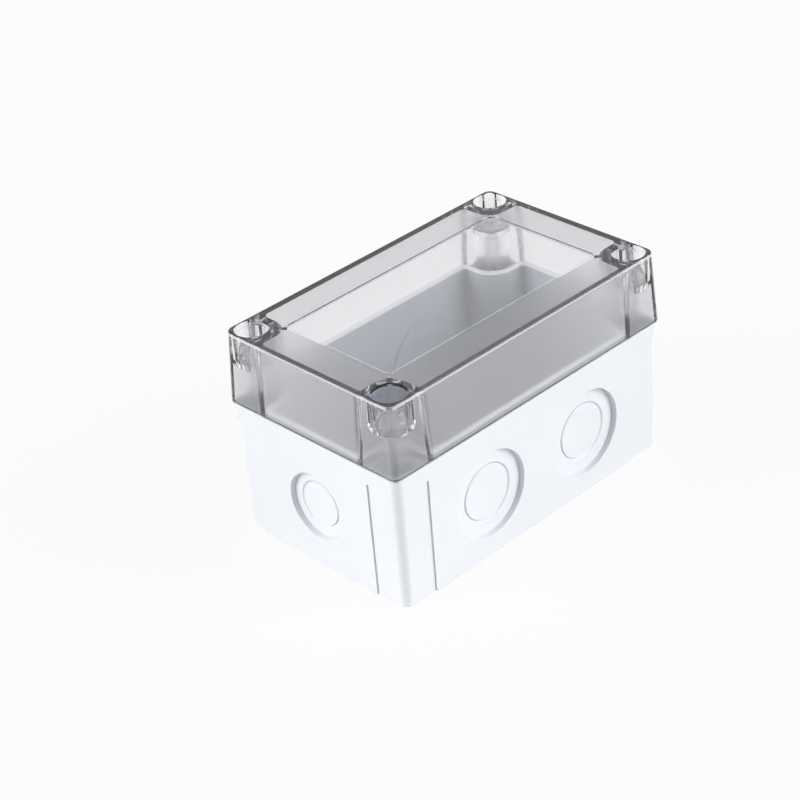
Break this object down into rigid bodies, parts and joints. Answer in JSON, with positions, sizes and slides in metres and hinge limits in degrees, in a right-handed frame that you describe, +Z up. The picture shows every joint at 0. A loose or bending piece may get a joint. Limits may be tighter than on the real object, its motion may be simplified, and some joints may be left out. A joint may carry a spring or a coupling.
{
  "type": "wiring enclosure",
  "caption": "Rectangular wiring enclosure with a deep clear screw-down lid, corner screw channels outside the seal, and round break-out cable entries on every side.",
  "frame": {"origin": "centre of the underside", "axes": "+X along the long side, +Y across, +Z up from the base to the lid"},
  "size_m": [0.13, 0.08, 0.078],
  "materials": {
    "grey_moulding": "matte",
    "clear_moulding": "clear gloss",
    "clear_screw": "clear gloss",
    "seal_rubber": "matte"
  },
  "bodies": {
    "base_body": {"base": "grey_moulding", "seal": "seal_rubber", "knockout_ring_front_left": "grey_moulding", "knockout_ring_front_right": "grey_moulding", "knockout_ring_back_left": "grey_moulding", "knockout_ring_back_right": "grey_moulding", "knockout_ring_left_end": "grey_moulding", "knockout_ring_right_end": "grey_moulding", "knockout_disc_front_left": "grey_moulding", "knockout_disc_front_right": "grey_moulding", "knockout_disc_back_left": "grey_moulding", "knockout_disc_back_right": "grey_moulding", "knockout_disc_left_end": "grey_moulding", "knockout_disc_right_end": "grey_moulding"},
    "lid_body": {"lid": "clear_moulding"},
    "screw_body_front_left": {"cover_screw_front_left": "clear_screw"},
    "screw_body_front_right": {"cover_screw_front_right": "clear_screw"},
    "screw_body_back_left": {"cover_screw_back_left": "clear_screw"},
    "screw_body_back_right": {"cover_screw_back_right": "clear_screw"}
  },
  "joints": [
    {"name": "lid_lift", "type": "slide", "parent": "base_body", "child": "lid_body", "axis": [0, 0, 1], "range_m": [0, 0.06]},
    {"name": "cover_screw_travel_front_left", "type": "slide", "parent": "lid_body", "child": "screw_body_front_left", "axis": [0, 0, 1], "range_m": [0, 0.012]},
    {"name": "cover_screw_travel_front_right", "type": "slide", "parent": "lid_body", "child": "screw_body_front_right", "axis": [0, 0, 1], "range_m": [0, 0.012]},
    {"name": "cover_screw_travel_back_left", "type": "slide", "parent": "lid_body", "child": "screw_body_back_left", "axis": [0, 0, 1], "range_m": [0, 0.012]},
    {"name": "cover_screw_travel_back_right", "type": "slide", "parent": "lid_body", "child": "screw_body_back_right", "axis": [0, 0, 1], "range_m": [0, 0.012]}
  ]
}
